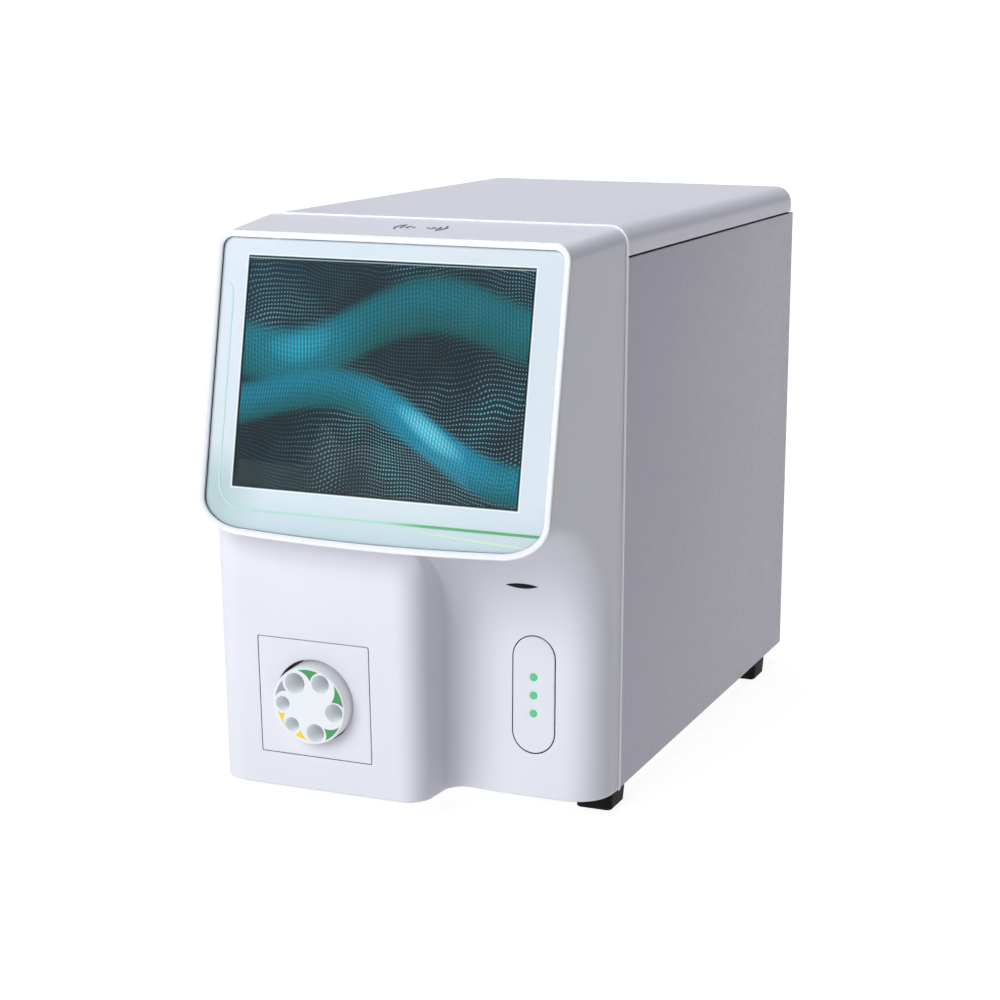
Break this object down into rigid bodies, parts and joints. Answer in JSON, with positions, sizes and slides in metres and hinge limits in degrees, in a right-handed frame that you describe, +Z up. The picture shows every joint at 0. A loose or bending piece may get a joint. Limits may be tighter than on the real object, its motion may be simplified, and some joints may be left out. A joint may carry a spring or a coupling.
{
  "type": "hematology analyzer",
  "caption": "Bench-top blood cell analyzer with leaning touch display, tube wheel station, open-tube sampling recess and aspirate button.",
  "frame": {"origin": "middle of the bounding box in plan, on the surface that the feet stand on", "axes": "+Z up, display and tube station facing -Y, reagent fittings at +Y, +X towards the sampling recess"},
  "size_m": [0.2816, 0.5641, 0.4158],
  "materials": {
    "cover_white": "fine satin",
    "rim_white": "satin gloss",
    "glass": "polished",
    "print_pale": "satin ink",
    "print_green": "ink",
    "screen_dark": "lit panel",
    "sheet_metal": "zinc plated",
    "board_green": "solder mask",
    "mark_green": "ink",
    "mark_yellow": "ink",
    "mark_grey": "ink",
    "steel": "polished",
    "motor_dark": "satin",
    "natural_plastic": "natural",
    "light_green": "lit diffuser",
    "dark_plastic": "moulded",
    "panel_white": "powder coat",
    "foot_black": "matt",
    "tube_clear": "polished",
    "alloy": "machined",
    "tube_soft": "silicone",
    "pin_brass": "plated",
    "port_metal": "plated"
  },
  "bodies": {
    "case": {"front_cover": "cover_white", "display_bezel": "rim_white", "cover_glass": "glass", "border_print": "print_pale", "green_line_print": "print_green", "lcd_panel": "screen_dark", "lcd_module": "sheet_metal", "display_bracket": "sheet_metal", "reader_board": "board_green", "reader_marks": "mark_grey", "station_plate": "cover_white", "station_frame": "sheet_metal", "station_motor": "motor_dark", "button_housing": "dark_plastic", "button_switch": "dark_plastic", "probe_frame": "sheet_metal", "probe_motor": "motor_dark", "wash_block": "natural_plastic", "top_cover": "cover_white", "left_side_panel": "panel_white", "right_side_panel": "panel_white", "rear_panel": "panel_white", "base_plate": "sheet_metal", "feet": "foot_black", "foot_screws": "steel", "panel_screws": "steel", "chassis_frame": "sheet_metal", "counting_baths": "natural_plastic", "bath_bracket": "sheet_metal", "syringe_frame": "sheet_metal", "syringe_barrels": "tube_clear", "syringe_motor": "motor_dark", "valve_bank": "dark_plastic", "waste_chamber": "natural_plastic", "tubing": "tube_soft", "optical_bench": "alloy", "main_board": "board_green", "power_supply": "alloy", "fan_frame": "dark_plastic", "fan_grille": "steel", "inlet_housing": "dark_plastic", "inlet_pins": "pin_brass", "io_ports": "port_metal", "reagent_fittings": "natural_plastic"},
    "tube_wheel_unit": {"tube_wheel": "rim_white", "wheel_marks_green": "mark_green", "wheel_marks_yellow": "mark_yellow", "wheel_mark_grey": "mark_grey", "wheel_shaft": "steel"},
    "piercer": {"pierce_needle": "steel", "pierce_carriage": "natural_plastic"},
    "button": {"aspirate_button": "cover_white", "button_lights": "light_green"},
    "probe_unit": {"probe": "steel", "probe_carriage": "natural_plastic"},
    "probe_drive": {"probe_screw": "steel"},
    "syringe_unit": {"syringe_plungers": "alloy"},
    "syringe_drive": {"syringe_screw": "steel"},
    "fan": {"fan_rotor": "dark_plastic"},
    "rocker": {"power_rocker": "dark_plastic"}
  },
  "joints": [
    {"name": "wheel_index", "type": "hinge", "parent": "case", "child": "tube_wheel_unit", "pos_m": [-0.0563, -0.2479, 0.082], "axis": [0, -0.9986, -0.0532], "continuous": true},
    {"name": "needle_slide", "type": "slide", "parent": "case", "child": "piercer", "axis": [0, -0.9986, -0.0532], "range_m": [0, 0.02]},
    {"name": "button_press", "type": "slide", "parent": "case", "child": "button", "axis": [0, 1, 0], "range_m": [0, 0.0025], "stiffness_N_per_m": 400, "springref_m": -0.002},
    {"name": "probe_slide", "type": "slide", "parent": "case", "child": "probe_unit", "axis": [0, 0, -1], "range_m": [0, 0.08]},
    {"name": "probe_screw_spin", "type": "hinge", "parent": "case", "child": "probe_drive", "pos_m": [0.085, -0.19183, 0.303], "axis": [0, 0, 1], "range_deg": [-20, 3620]},
    {"name": "syringe_slide", "type": "slide", "parent": "case", "child": "syringe_unit", "axis": [0, 0, 1], "range_m": [0, 0.035]},
    {"name": "syringe_screw_spin", "type": "hinge", "parent": "case", "child": "syringe_drive", "pos_m": [0.024, -0.00783, 0.115], "axis": [0, 0, 1], "range_deg": [-20, 3170]},
    {"name": "fan_spin", "type": "hinge", "parent": "case", "child": "fan", "pos_m": [-0.082, 0.25417, 0.303], "axis": [0, 1, 0], "continuous": true},
    {"name": "power_switch", "type": "hinge", "parent": "case", "child": "rocker", "pos_m": [0.096, 0.26517, 0.091], "axis": [1, 0, 0], "range_deg": [-14, 0]}
  ],
  "couplings": [
    {"joint": "probe_screw_spin", "follows": "probe_slide", "rad_per_m": 785.4},
    {"joint": "syringe_screw_spin", "follows": "syringe_slide", "rad_per_m": 1570.8}
  ]
}
